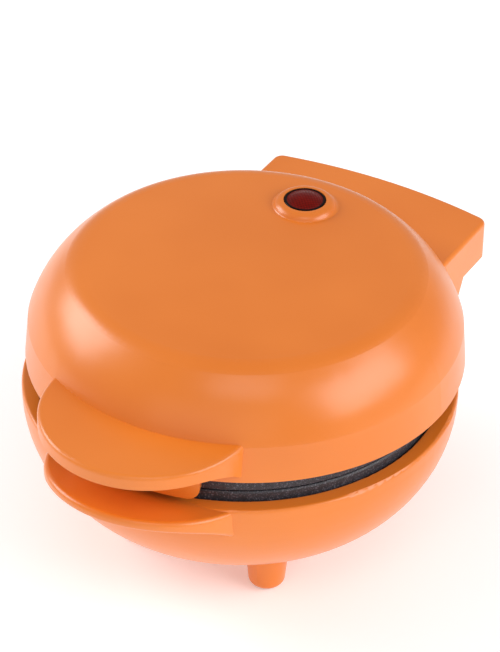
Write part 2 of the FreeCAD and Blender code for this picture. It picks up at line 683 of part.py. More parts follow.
def makeUpperHousing():
    body = newBody("UpperHousing")
    # grip
    rootY = 2 * dims.gripRoot - dims.coverRadius
    tipY = -dims.upperReach
    edgeLow = dims.upperGripTop - dims.upperGripEdge
    rise = edgeLow - dims.coverRim
    archMiddle = dims.upperGripArc - rise
    archRun = root(dims.upperGripArc * dims.upperGripArc - archMiddle * archMiddle)
    wallFoot = dims.gripRadius - dims.upperReach
    archEnd = wallFoot - archRun
    grip(body, dims.upperReach,
         ((rootY, dims.upperGripTop), (rootY, dims.coverRim), (wallFoot, dims.coverRim),
          (archEnd, edgeLow), (tipY, edgeLow), (tipY, dims.upperGripTop)),
         {2: dims.upperGripArc})
    roundEdges(body, gripEdge(dims.upperReach, 0, 99), dims.gripRound)
    # tongue under the grip, standing clear of the bowl's plate
    tongueIn = dims.plateRadius + dims.coverSetback + dims.tonguePlay
    tongueOut = tongueIn + dims.wall
    tongueLow = dims.coverRim - dims.tongueDrop
    inWall = dims.coverRadius - dims.wall / 2
    tongue = newSketch(body, "YZ_Plane")
    outline(tongue, ((-inWall, edgeLow + 1), (-inWall, dims.coverRim), (-tongueIn, dims.coverRim),
                     (-tongueIn, tongueLow), (-tongueOut, tongueLow), (-tongueOut, edgeLow + 1)))
    item = revolve(body, tongue, angle=dims.tongueAngle)
    item.Midplane = True

    def tongueCorner(edge):
        box = edge.BoundBox
        atBottom = abs(box.ZMin - tongueLow.value) < 0.01
        return box.ZLength < 0.01 and atBottom and edge.Length < 2 * dims.wall.value
    roundEdges(body, tongueCorner, dims.tongueRound)
    # hinge block
    rearY = dims.blockReach
    blockPlan = newSketch(body, "XY_Plane", (0, 0, blockBottom))
    swell = dims.blockHalf * dims.blockHalf / (2 * dims.blockSwell) + dims.blockSwell / 2
    outline(blockPlan, ((-dims.blockHalf, 20), (dims.blockHalf, 20), (dims.blockHalf, rearY),
                        (-dims.blockHalf, rearY)), {2: swell})
    pad(body, blockPlan, blockDepth)

    def upright(edge):
        box = edge.BoundBox
        return box.ZLength > blockDepth.value - 0.1 and box.YMin > rearY.value - 1 and box.XLength < 0.1
    roundEdges(body, upright, dims.blockCorner)

    def topEdge(edge):
        box = edge.BoundBox
        return abs(box.ZMin - dims.blockTop.value) < 0.01 and box.ZLength < 0.01 and box.YMax > 21
    roundEdges(body, topEdge, dims.blockRound)
    # hinge legs
    knuckle = dims.knuckleRadius
    leanBack = knuckle * cosine(dims.legLean)
    leanDown = knuckle * sine(dims.legLean)
    legTop = blockBottom + dims.blockRound
    slope = sine(dims.legLean) / cosine(dims.legLean)
    legRear = hingeFromCover + leanBack + (legTop - dims.hingeHeight + leanDown) * slope
    leg = newSketch(body, "YZ_Plane", (0, 0, legInner))
    outline(leg, ((hingeFromCover - knuckle, legTop), (hingeFromCover - knuckle, dims.hingeHeight),
                  (hingeFromCover + leanBack, dims.hingeHeight - leanDown), (legRear, legTop)), {1: knuckle})
    legPad = pad(body, leg, dims.blockHalf - legInner)
    pinHole = newSketch(body, "YZ_Plane", (0, 0, legInner))
    circleIn(pinHole, hingeFromCover, dims.hingeHeight, dims.pinRadius)
    pinCut = pocket(body, pinHole, dims.pinGrip)
    mirrored(body, [legPad, pinCut])
    # hollow of the hinge block, open below
    sideIn = legInner
    frontY = root(dims.coverRadius * dims.coverRadius - sideIn * sideIn)
    rearIn = rearY - dims.wall
    hollowPlan = newSketch(body, "XY_Plane", (0, 0, blockBottom))
    outline(hollowPlan, ((-sideIn, frontY), (sideIn, frontY), (sideIn, rearIn), (-sideIn, rearIn)),
            {0: -dims.coverRadius, 2: swell})
    pocket(body, hollowPlan, blockDepth - dims.wall)
    # cover
    crownArc = dims.discRadius * dims.discRadius / (2 * dims.crownRise) + dims.crownRise / 2
    cover = newSketch(body, "XZ_Plane")
    outline(cover, ((0, dims.coverRim), (dims.coverRadius, dims.coverRim),
                    (dims.creaseRadius, dims.creaseHeight), (dims.discRadius, dims.coverTop),
                    (0, dims.coverTop + dims.crownRise)),
            {2: dims.shoulderArc, 3: crownArc})
    revolve(body, cover)

    def discEdge(edge):
        box = edge.BoundBox
        return box.ZLength < 0.01 and abs(box.ZMin - dims.coverTop.value) < 0.01
    roundEdges(body, discEdge, dims.discRound)
    # collar round the lens
    collar = newSketch(body, "YZ_Plane", (dims.lensReach, 0, 0))
    crest = lensBase + dims.collarRise
    hole = dims.lensRadius + dims.lensPlay
    collarRadius = hole + dims.collarLip + dims.collarSlope
    outline(collar, ((0, lensBase - 1.5), (collarRadius + dims.collarFoot, lensBase - 1.5),
                     (collarRadius + dims.collarFoot, lensBase - 0.15), (collarRadius, lensBase + 0.45),
                     (hole + dims.collarLip, crest), (0, crest)),
            {2: -1.6, 3: dims.collarArc})
    revolve(body, collar)
    # hollow
    hollow = newSketch(body, "XZ_Plane")
    outline(hollow, ((0, dims.coverRim - 8), (dims.coverRadius - dims.wall, dims.coverRim - 8),
                     (dims.coverRadius - dims.wall, dims.coverRim),
                     (dims.creaseRadius - dims.wall, dims.creaseHeight - dims.wall / 4),
                     (dims.discRadius - dims.wall / 2, dims.coverTop - dims.wall),
                     (0, dims.coverTop - dims.wall)),
            {3: dims.shoulderArc - dims.wall})
    revolve(body, hollow, cut=True)
    # lens hole
    lensHole = newSketch(body, "XY_Plane", (0, 0, dims.coverTop - dims.wall - 1))
    circleIn(lensHole, 0, dims.lensReach, hole)
    pocket(body, lensHole, dims.wall + dims.collarRise + 5)
    # screw posts
    postLow = upperFace + dims.plateSkirt
    posts = newSketch(body, "XY_Plane", (0, 0, postLow))
    for postX, postY in quarterPlaces(dims.screwCircle):
        circleIn(posts, postX, postY - dims.coverSetback, dims.postRadius)
    pad(body, posts, dims.coverTop - dims.wall + 0.1 - postLow)
    pilots = newSketch(body, "XY_Plane", (0, 0, postLow))
    for postX, postY in quarterPlaces(dims.screwCircle):
        circleIn(pilots, postX, postY - dims.coverSetback, dims.screwRadius + dims.threadPlay)
    pocket(body, pilots, dims.screwGrip + dims.pilotRest)
    subPart(body, "upper_housing", coverAxis)



def makeFootPads():
    pads = []
    for x, y in quarterPlaces(dims.footCircle):
        pads.append(cylinder(dims.padRadius, dims.padProud + dims.padDepth - dims.seatGap, (x, y, 0)))
    subPart(group(pads), "foot_pads", bowlAxis)


# baking plates and heaters, each drawn with the plate's face at zero and the rest below it

def plateFrames():
    """The two places of a plate's own frame: the upper one is turned over, straight above the other."""
    lower = ("lower", (asSize(0), bowlAxisY, lowerFace), 0)
    upper = ("upper", (asSize(0), bowlAxisY, upperFace), 180)
    return lower, upper


def placed(item, label, frame):
    side, base, turn = frame
    subPart(item, f"{side}_{label}", base, (1, 0, 0), turn)


def makePlate(frame):
    body = newBody(frame[0] + "Plate")
    rimInner = dims.plateRadius - dims.plateRim
    skirtInner = dims.plateRadius - dims.plateWeb
    webBack = -(dims.plateSink + dims.plateWeb)
    seatIn = dims.ringCircle - dims.seatHalf
    seatOut = dims.ringCircle + dims.seatHalf
    hub = dims.screwRadius + dims.hubWall
    section = newSketch(body, "XZ_Plane")
    outline(section, ((0, -dims.plateSink), (rimInner - 0.6, -dims.plateSink), (rimInner, 0),
                      (dims.plateRadius - dims.plateEdge, 0), (dims.plateRadius, -dims.plateEdge),
                      (dims.plateRadius, -dims.plateSkirt), (skirtInner, -dims.plateSkirt),
                      (skirtInner, webBack), (seatOut, webBack), (seatOut, -dims.seatDrop),
                      (seatIn, -dims.seatDrop), (seatIn, webBack), (hub, webBack),
                      (hub, dims.seatGap - clampDepth), (0, dims.seatGap - clampDepth)))
    revolve(body, section)
    # screw bosses
    screwX, screwY = quarterPlaces(dims.screwCircle)[0]
    boss = newSketch(body, "XY_Plane", (0, 0, -dims.plateSkirt))
    circleIn(boss, screwX, screwY, dims.postRadius + dims.bossWall)
    bossPad = pad(body, boss, dims.plateSkirt - dims.plateSink)
    hole = newSketch(body, "XZ_Plane", (screwX, 0, -screwY))
    wide = dims.screwHead + dims.screwPlay
    narrow = dims.screwRadius + dims.screwPlay
    below = -dims.plateSkirt - 1
    outline(hole, ((0, 0), (wide, 0), (wide, -dims.plateSink), (narrow, narrow - wide - dims.plateSink),
                   (narrow, below), (0, below)))
    holeCut = revolve(body, hole, cut=True)
    aroundAxis(body, [bossPad, holeCut], 4)
    # donut rings
    shell = newSketch(body, "XZ_Plane", (dims.ringCircle, 0, 0))
    tubeOut = dims.ringTube + dims.plateWeb
    tubeDrop = root(tubeOut * tubeOut - dims.plateSink * dims.plateSink)
    outline(shell, ((dims.ringRadius - tubeDrop, -dims.plateSink),
                    (dims.ringRadius + tubeDrop, -dims.plateSink)), {0: tubeOut})
    shellBody = revolve(body, shell)
    trough = newSketch(body, "XZ_Plane", (dims.ringCircle, 0, 0))
    circleIn(trough, dims.ringRadius, 0, dims.ringTube)
    troughCut = revolve(body, trough, cut=True)
    aroundAxis(body, [shellBody, troughCut], 4)
    # hole for the clamp's screw
    clampHole = newSketch(body, "XY_Plane", (0, 0, dims.seatGap - clampDepth))
    circleIn(clampHole, 0, 0, dims.screwRadius + dims.threadPlay)
    pocket(body, clampHole, dims.screwGrip + dims.pilotRest)
    placed(body, "plate", frame)


def makeHeater(frame):
    ring = torus(dims.ringCircle, dims.heaterTube, (0, 0, -heaterDepth))
    bind(ring, "Angle3", 360 - dims.heaterGap)
    start = 90 + dims.heaterGap.value / 2
    ring.Placement = Placement(Vector(0, 0, -heaterDepth.value), Rotation(Vector(0, 0, 1), start))
    pieces = [ring]
    for side in (-1, 1):
        pieces += heaterEnd(side)
    placed(join(pieces), "heater", frame)


def heaterEnd(side):
    """One end of the heater: a bend, an upright length and its terminal pin."""
    angle = math.radians(90 - side * dims.heaterGap.value / 2)
    outward = Vector(math.cos(angle), math.sin(angle), 0)
    onward = Vector(-side * math.sin(angle), side * math.cos(angle), 0)
    halfGap = dims.heaterGap / 2
    across = side * dims.ringCircle * sine(halfGap)
    behind = dims.ringCircle * cosine(halfGap)
    bend = torus(dims.heaterBend, dims.heaterTube)
    bend.Angle3 = 90
    upward = Vector(0, 0, 1)
    bend.Placement = Placement(Vector(0, 0, 0), Rotation(upward, onward, upward.cross(onward)))
    bendZ = -heaterDepth - dims.heaterBend
    place3(bend, (across, behind, bendZ))
    endX = across - side * dims.heaterBend * cosine(halfGap)
    endY = behind + dims.heaterBend * sine(halfGap)
    endZ = bendZ - dims.coldEnd
    upright = cylinder(dims.heaterTube, dims.coldEnd, (endX, endY, endZ))
    pinBase = (endX, endY, endZ - dims.terminalLength)
    terminal = cylinder(dims.terminalRadius, dims.terminalLength + 1, pinBase)
    return [bend, upright, terminal]


def place3(item, base):
    """Binds only an object's place and keeps its turn."""
    for letter, size in zip("xyz", base):
        bind(item, f"Placement.Base.{letter}", size)


def makeClamp(frame):
    """A cross that presses the heater to its seat, its arms between the screws' quarters."""
    reach = 2 * (dims.ringCircle + dims.clampReach)
    arms = []
    for turn in (45, 135):
        arm = block(reach, dims.clampWidth, dims.clampThick)
        bar = group([arm])
        place(bar, (asSize(0), asSize(0), -clampDepth - dims.clampThick), (0, 0, 1), turn)
        arms.append(bar)
    holeLow = -clampDepth - dims.clampThick - 1
    hole = cylinder(dims.screwRadius + dims.screwPlay, dims.clampThick + 2, (0, 0, holeLow))
    placed(cutAway(join(arms), hole), "heater_clamp", frame)


def makeReflector(frame):
    body = newBody(frame[0] + "Reflector")
    rimInner = dims.reflectorRadius - dims.reflectorThick
    section = newSketch(body, "XZ_Plane")
    outline(section, ((0, -reflectorDepth), (0, -reflectorBack), (dims.reflectorRadius, -reflectorBack),
                      (dims.reflectorRadius, dims.reflectorRim - reflectorBack),
                      (rimInner, dims.reflectorRim - reflectorBack), (rimInner, -reflectorDepth)))
    revolve(body, section)
    hole = newSketch(body, "XY_Plane", (0, 0, -reflectorBack - 1))
    circleIn(hole, 0, 0, dims.screwRadius + dims.screwPlay)
    pocket(body, hole, dims.reflectorThick + 2)
    notch = newSketch(body, "XY_Plane", (0, 0, -reflectorBack - 1))
    endX = dims.ringCircle * sine(dims.heaterGap / 2) - dims.heaterBend * cosine(dims.heaterGap / 2)
    half = endX + dims.heaterTube + dims.notchPlay
    near = dims.ringCircle - dims.heaterTube - dims.notchPlay
    far = dims.reflectorRadius + 2
    outline(notch, ((-half, near), (half, near), (half, far), (-half, far)))
    pocket(body, notch, dims.reflectorRim + 2)
    placed(body, "reflector", frame)


def makePlateScrews(frame):
    screws = []
    for x, y in quarterPlaces(dims.screwCircle):
        headHeight = dims.screwHead - dims.screwRadius
        head = cone(dims.screwRadius, dims.screwHead, headHeight, (x, y, -dims.plateSink - headHeight))
        shankLow = -dims.plateSkirt - dims.screwGrip
        shankLength = 0.2 - dims.plateSink - headHeight - shankLow
        shank = cylinder(dims.screwRadius, shankLength, (x, y, shankLow))
        slot = block(1, 3.4, 1, (x, y, -dims.plateSink - 0.7))
        slotAcross = block(3.4, 1, 1, (x, y, -dims.plateSink - 0.7))
        screws.append(cutAway(join([head, shank]), join([slot, slotAcross])))
    placed(group(screws), "plate_screws", frame)


def makeClampScrew(frame):
    headHeight = dims.capHead
    under = -reflectorBack - dims.seatGap
    head = cylinder(dims.screwHead, headHeight, (0, 0, under - headHeight))
    shank = cylinder(dims.screwRadius, reflectorBack - clampDepth + dims.screwGrip, (0, 0, under - 0.2))
    slot = block(1, 2 * dims.screwHead + 1, 0.8, (0, 0, under - headHeight))
    placed(cutAway(join([head, shank]), slot), "clamp_screw", frame)


# control parts in the bowl

lowerBack = lowerFace - reflectorBack


def makeThermostat():
    top = lowerBack - dims.seatGap
    low = top - dims.thermostatDrop
    x = -dims.thermostatReach
    can = cylinder(dims.thermostatRadius, dims.thermostatDrop, (x, 0, low))
    cap = cylinder(dims.thermostatRadius - 1.2, dims.thermostatCap + 0.2, (x, 0, low - dims.thermostatCap))
    blades = []
    for side in (-1, 1):
        bladeX = x + side * (dims.thermostatRadius - 3)
        blades.append(block(1, dims.bladeWidth, dims.bladeLength + 0.2, (bladeX, 0, low - dims.bladeLength)))
    subPart(join([can, cap] + blades), "thermostat", bowlAxis)


def makeThermalFuse():
    sleeveRadius = dims.fuseRadius + dims.seatGap + dims.sleeveWall
    axisZ = lowerBack - dims.seatGap - sleeveRadius
    length = dims.sleeveLength
    x = dims.fuseReach
    bare = cylinder(dims.fuseRadius, dims.fuseLength, (x, dims.fuseLength / 2, axisZ), (1, 0, 0), 90)
    wire = cylinder(dims.wireRadius, length + 6, (x, length / 2 + 3, axisZ), (1, 0, 0), 90)
    subPart(join([bare, wire]), "thermal_fuse", bowlAxis)
    outer = cylinder(sleeveRadius, length, (x, length / 2, axisZ), (1, 0, 0), 90)
    bore = cylinder(dims.fuseRadius + dims.seatGap, length + 2, (x, length / 2 + 1, axisZ), (1, 0, 0), 90)
    subPart(cutAway(outer, bore), "fuse_sleeve", bowlAxis)
    makeFuseStrap(sleeveRadius + dims.seatGap, axisZ)


def makeFuseStrap(inner, axisZ):
    """A saddle that holds the fuse's sleeve up to the reflector, with a foot on each side."""
    outer = inner + dims.strapThick
    width = dims.strapWidth
    top = lowerBack - dims.seatGap
    span = 2 * (outer + dims.strapFoot)
    x = dims.fuseReach
    feet = block(span, width, dims.strapThick, (x, 0, top - dims.strapThick))
    saddle = cylinder(outer, width, (x, width / 2, axisZ), (1, 0, 0), 90)
    room = cylinder(inner, width + 2, (x, width / 2 + 1, axisZ), (1, 0, 0), 90)
    above = block(2 * inner, width + 2, inner + 2, (x, 0, axisZ))
    strap = cutAway(join([feet, saddle]), join([room, above]))
    crest = block(span + 2, width + 2, outer, (x, 0, top))
    subPart(cutAway(strap, crest), "fuse_strap", bowlAxis)


def makeTerminalBlock():
    length = 3 * dims.terminalPitch + 2
    width = dims.terminalsWidth
    height = dims.terminalsHeight
    low = floorInside + dims.seatGap
    well = dims.terminalScrew + dims.seatGap
    housing = block(length, width, height, (0, dims.terminalsReach, low))
    sockets = []
    screws = []
    for step in (-1, 0, 1):
        x = step * dims.terminalPitch
        sockets.append(cylinder(well, 5, (x, dims.terminalsReach, low + height - 4)))
        wayBase = (x, dims.terminalsReach + width / 2 + 1, low + 4)
        sockets.append(cylinder(dims.wireWay, width + 2, wayBase, (1, 0, 0), 90))
        head = cylinder(dims.terminalScrew, 2, (x, dims.terminalsReach, low + height - 3.9))
        slot = block(2 * dims.terminalScrew, 0.8, 1, (x, dims.terminalsReach, low + height - 2.6))
        screws.append(cutAway(head, slot))
    subPart(cutAway(housing, group(sockets)), "terminal_block", bowlAxis)
    subPart(group(screws), "terminal_screws", bowlAxis)


def makeCordGland():
    body = newBody("CordGland")
    inFlange = dims.glandBossIn - dims.seatGap
    outFlange = dims.glandBossOut + dims.seatGap
    small = dims.glandFlange - dims.glandRim / 3
    section = newSketch(body, "XZ_Plane")
    innerEnd = inFlange - dims.glandInner
    outline(section, ((dims.glandBore, innerEnd), (small, innerEnd), (small, inFlange),
                      (dims.glandBarrel, inFlange), (dims.glandBarrel, outFlange),
                      (dims.glandFlange, outFlange),
                      (dims.glandFlange - 0.8, outFlange + dims.glandOuter),
                      (dims.glandBore, outFlange + dims.glandOuter)))
    revolve(body, section)
    body.Placement = Placement(Vector(0, 0, 0), Rotation(dims.glandAngle.value, 0, -90))
    place3(body, (asSize(0), bowlAxisY, dims.glandHeight))
    subPart(body, "cord_gland")


# indicator parts in the cover

def makeLens():
    body = newBody("Lens")
    low = dims.coverTop - dims.barrelDrop
    edge = lensBase + dims.lensEdge
    crown = lensBase + dims.lensDome
    rise = crown - edge
    domeArc = dims.lensRadius * dims.lensRadius / (2 * rise) + rise / 2
    bore = dims.lensRadius - dims.barrelWall
    ceiling = edge - dims.barrelWall
    section = newSketch(body, "YZ_Plane", (dims.lensReach, 0, 0))
    outline(section, ((0, ceiling), (bore, ceiling), (bore, low), (dims.lensRadius, low),
                      (dims.lensRadius, edge), (0, crown)), {4: domeArc})
    revolve(body, section)
    subPart(body, "indicator_lens", coverAxis)


def makeLamp():
    low = dims.coverTop - dims.barrelDrop
    y = dims.lensReach
    plugRadius = dims.lensRadius - dims.barrelWall - dims.seatGap
    plug = cylinder(plugRadius, dims.plugThick, (0, y, low))
    subPart(group([plug]), "lamp_holder", coverAxis)
    glassLow = low + dims.plugThick + dims.seatGap
    glass = cylinder(dims.lampRadius, dims.lampStraight, (0, y, glassLow))
    tip = document.addObject("Part::Sphere", "Tip")
    bind(tip, "Radius", dims.lampRadius)
    place3(tip, (asSize(0), y, glassLow + dims.lampStraight))
    subPart(join([glass, tip]), "neon_lamp", coverAxis)
    length = dims.resistorLength
    resistorZ = low - dims.resistorRadius - dims.seatGap
    bead = cylinder(dims.resistorRadius, length, (-length / 2, y, resistorZ), (0, 1, 0), 90)
    wire = cylinder(dims.wireRadius, 2 * length, (-length, y, resistorZ), (0, 1, 0), 90)
    subPart(join([bead, wire]), "ballast_resistor", coverAxis)


def makeLensClip():
    low = dims.coverTop - dims.wall - dims.seatGap - dims.clipThick
    boreRadius = dims.lensRadius + dims.seatGap / 2
    outer = cylinder(dims.lensRadius + dims.clipWidth, dims.clipThick, (0, dims.lensReach, low))
    bore = cylinder(boreRadius, dims.clipThick + 2, (0, dims.lensReach, low - 1))
    subPart(cutAway(outer, bore), "lens_clip", coverAxis)


def makeHingePins():
    pins = []
    length = legInner + dims.pinGrip - dims.lugInner
    starts = (dims.lugInner - 0.2, -(legInner + dims.pinGrip - dims.seatGap))
    for start in starts:
        base = (start, hingeFromCover, dims.hingeHeight)
        pins.append(cylinder(dims.pinRadius, length, base, (0, 1, 0), 90))
    subPart(group(pins), "hinge_pins", coverAxis)


def finish():
    """Checks every object, then writes each sub-part to a file of its own."""
    document.recompute()
    for item in document.Objects:
        if "Invalid" in item.State or "Error" in item.State:
            raise RuntimeError(f"{item.Name} failed: {item.State}")
    for item in subParts:
        if item.Shape.isNull() or not item.Shape.isValid():
            raise RuntimeError(f"{item.Label} has no valid shape")
    os.makedirs("parts", exist_ok=True)
    for item in subParts:
        item.Shape.exportStep(f"parts/{item.Label}.step")
        print(f"{item.Label}: {len(item.Shape.Solids)} solids, {item.Shape.Volume / 1000:.2f} cm3")


makeLowerHousing()
makeUpperHousing()
makeFootPads()
for plateFrame in plateFrames():
    makePlate(plateFrame)
    makeHeater(plateFrame)
    makeClamp(plateFrame)
    makeReflector(plateFrame)
    makePlateScrews(plateFrame)
    makeClampScrew(plateFrame)
makeThermostat()
makeThermalFuse()
makeTerminalBlock()
makeCordGland()
makeLens()
makeLamp()
makeLensClip()
makeHingePins()
finish()
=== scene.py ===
import bmesh
import bpy
import json
import math
from mathutils import Matrix, Vector


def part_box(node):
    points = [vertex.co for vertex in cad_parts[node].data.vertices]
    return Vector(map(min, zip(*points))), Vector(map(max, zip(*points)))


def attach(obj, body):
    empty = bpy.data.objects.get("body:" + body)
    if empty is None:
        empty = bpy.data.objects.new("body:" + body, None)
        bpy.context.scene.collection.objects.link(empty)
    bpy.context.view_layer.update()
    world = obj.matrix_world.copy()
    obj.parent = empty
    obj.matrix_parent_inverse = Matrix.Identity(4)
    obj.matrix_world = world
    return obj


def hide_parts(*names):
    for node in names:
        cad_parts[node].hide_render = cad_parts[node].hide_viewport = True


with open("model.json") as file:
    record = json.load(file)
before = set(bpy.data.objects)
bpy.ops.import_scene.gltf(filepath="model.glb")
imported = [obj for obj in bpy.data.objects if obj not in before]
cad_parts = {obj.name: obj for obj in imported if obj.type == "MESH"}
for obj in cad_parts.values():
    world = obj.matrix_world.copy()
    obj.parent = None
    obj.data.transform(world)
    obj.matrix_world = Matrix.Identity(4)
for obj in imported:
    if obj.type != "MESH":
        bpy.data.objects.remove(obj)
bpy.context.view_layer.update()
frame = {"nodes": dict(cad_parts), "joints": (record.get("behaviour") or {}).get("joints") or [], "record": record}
nodes = frame["nodes"]
print("frame loaded:", len(nodes), "nodes")


def linear(red, green, blue):
    # screen values from 0 to 255 turned into the shader's own
    def one(value):
        share = value / 255
        return share / 12.92 if share <= 0.04045 else ((share + 0.055) / 1.055) ** 2.4
    return one(red), one(green), one(blue), 1.0


class Wire:
    # a shader socket that can be used in sums
    def __init__(self, finish, socket):
        self.finish = finish
        self.socket = socket

    def sum(self, operation, first, second):
        return self.finish.node("ShaderNodeMath", {"operation": operation}, {0: first, 1: second})

    def __add__(self, other):
        return self.sum("ADD", self, other)

    def __radd__(self, other):
        return self.sum("ADD", other, self)

    def __sub__(self, other):
        return self.sum("SUBTRACT", self, other)

    def __rsub__(self, other):
        return self.sum("SUBTRACT", other, self)

    def __mul__(self, other):
        return self.sum("MULTIPLY", self, other)

    def __rmul__(self, other):
        return self.sum("MULTIPLY", other, self)

    def __truediv__(self, other):
        return self.sum("DIVIDE", self, other)

    def __rtruediv__(self, other):
        return self.sum("DIVIDE", other, self)

    def __pow__(self, other):
        return self.sum("POWER", self, other)

    def __rpow__(self, other):
        return self.sum("POWER", other, self)


class Finish:
    # a material, written from its Principled shader's side
    def __init__(self, name, **steady):
        self.material = bpy.data.materials.new(name)
        self.material.use_nodes = True
        self.tree = self.material.node_tree
        self.shader = self.tree.nodes["Principled BSDF"]
        for socket, value in steady.items():
            self.shader.inputs[socket.replace("_", " ")].default_value = value
        self.place = self.node("ShaderNodeTexCoord", out="Object")

    def node(self, kind, settings=None, inputs=None, out=0):
        made = self.tree.nodes.new(kind)
        for name, value in (settings or {}).items():
            if name == "stops":
                self.setStops(made.color_ramp, value)
            else:
                setattr(made, name, value)
        for name, value in (inputs or {}).items():
            self.feed(made.inputs[name], value)
        return Wire(self, made.outputs[out])

    def setStops(self, ramp, stops):
        while len(ramp.elements) < len(stops):
            ramp.elements.new(0.5)
        for element, (position, colour) in zip(ramp.elements, stops):
            element.position = position
            element.color = colour

    def feed(self, socket, value):
        if isinstance(value, Wire):
            self.tree.links.new(value.socket, socket)
        else:
            socket.default_value = value

    def give(self, **values):
        for socket, value in values.items():
            self.feed(self.shader.inputs[socket.replace("_", " ")], value)

    def noise(self, size, detail=3, place=None, roughness=0.5):
        # size is the width of one blotch in metres
        inputs = {"Vector": place or self.place, "Scale": 1 / size,
                  "Detail": detail, "Roughness": roughness}
        return self.node("ShaderNodeTexNoise", None, inputs, out="Fac")

    def second(self, wire):
        # the next output of the node that a wire comes from
        outputs = list(wire.socket.node.outputs)
        return Wire(self, outputs[outputs.index(wire.socket) + 1])

    def stretched(self, scale):
        return self.node("ShaderNodeMapping", None, {"Vector": self.place, "Scale": scale})

    def spread(self, value, low, high):
        # 0 to 1 between two levels, held outside them
        return self.node("ShaderNodeMapRange", {"clamp": True},
                         {"Value": value, "From Min": low, "From Max": high, "To Min": 0, "To Max": 1})

    def blend(self, mask, first, second):
        return self.node("ShaderNodeMix", {"data_type": "RGBA"}, {0: mask, 6: first, 7: second}, out=2)

    def bump(self, height, depth, strength=1.0, under=None):
        # depth is the true height of the relief in metres
        inputs = {"Height": height, "Distance": depth, "Strength": strength}
        if under is not None:
            inputs["Normal"] = under
        return self.node("ShaderNodeBump", None, inputs)


shellLook = {
    "colour": linear(228, 122, 36), "shade": linear(223, 118, 32), "bright": linear(232, 127, 41),
    "cloud": 0.05, "cloudLevels": (0.35, 0.65),
    "fleck": 0.0004, "fleckLevels": (0.3, 0.7), "fleckShare": 0.25,
    "rough": 0.31, "roughSwing": 0.06, "roughPatch": 0.009, "coat": 0.2, "coatRough": 0.26,
    "peel": 0.0011, "peelShare": 0.5, "flow": 0.012, "peelDepth": 0.000008, "peelStrength": 0.6,
}


def orangeShell():
    # moulded plastic with a faint orange peel
    look = shellLook
    finish = Finish("orangeShell", IOR=1.5, Coat_Weight=look["coat"], Coat_Roughness=look["coatRough"])
    cloud = finish.spread(finish.noise(look["cloud"], detail=2), *look["cloudLevels"])
    fleck = finish.spread(finish.noise(look["fleck"], detail=2), *look["fleckLevels"])
    colour = finish.blend(cloud, look["shade"], look["bright"])
    relief = finish.noise(look["peel"], detail=2) * look["peelShare"] + finish.noise(look["flow"], detail=1)
    swing = (finish.noise(look["roughPatch"], detail=4) - 0.5) * look["roughSwing"]
    finish.give(Base_Color=finish.blend(fleck * look["fleckShare"], colour, look["colour"]),
                Roughness=look["rough"] + swing,
                Normal=finish.bump(relief, look["peelDepth"], look["peelStrength"]))
    return finish.material


plateLook = {
    "colour": linear(50, 49, 55), "fleck": linear(122, 120, 128), "pit": linear(22, 21, 25),
    "grain": 0.00026, "grainDepth": 0.00007, "grainRough": 0.6, "grainStrength": 0.7,
    "fleckSpan": 1.6, "fleckLevels": (0.56, 0.7), "fleckShare": 0.8,  # span in widths of the grain
    "cast": 0.0016, "castDepth": 0.00012, "castStrength": 0.6, "pitLevels": (0.45, 0.7), "pitShare": 0.5,
    "rough": 0.46, "roughSwing": 0.3,
}


def plateCoating():
    # dark non-stick coat with pale flecks over a cast surface
    look = plateLook
    finish = Finish("plateCoating", IOR=1.5)
    grain = finish.noise(look["grain"], detail=3, roughness=look["grainRough"])
    cast = finish.noise(look["cast"], detail=3)
    fleckNoise = finish.noise(look["grain"] * look["fleckSpan"], detail=1)
    fleck = finish.spread(fleckNoise, *look["fleckLevels"])
    colour = finish.blend(fleck * look["fleckShare"], look["colour"], look["fleck"])
    colour = finish.blend(finish.spread(cast, *look["pitLevels"]) * look["pitShare"], colour, look["pit"])
    fine = finish.bump(grain, look["grainDepth"], look["grainStrength"])
    finish.give(Base_Color=colour, Roughness=look["rough"] + (grain - 0.5) * look["roughSwing"],
                Normal=finish.bump(cast, look["castDepth"], look["castStrength"], under=fine))
    return finish.material


lensLook = {
    # of the two facet reds, the darker is painted shade in the facet grooves and the brighter painted glints on
    # the crests
    "facetShade": linear(60, 7, 3), "glow": linear(124, 16, 7), "rim": linear(20, 3, 3),
    "rimWidth": 0.0007, "rimFade": 0.0003, "specular": 0.12,
    "facet": 0.00055, "facetDepth": 0.00009, "facetStrength": 0.8, "facetShare": 0.6,
    "patch": 0.002, "patchShare": 0.5, "rough": 0.18, "roughSwing": 0.12, "roughPatch": 0.0008,
    "edgeDrop": 0.0016, "crownDrop": 0.0001, "rings": 8, "turns": 64,
    "bead": 0.0008, "beadRise": 0.00035,
    "beadProfile": [(0.15, 0.6), (0.45, 1.0), (0.85, 0.75), (1.0, 0.45)],  # shares inwards and upwards
}
lensLow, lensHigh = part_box("indicator_lens")
lensX, lensY = (lensLow[0] + lensHigh[0]) / 2, (lensLow[1] + lensHigh[1]) / 2
lensRadius = (lensHigh[0] - lensLow[0]) / 2


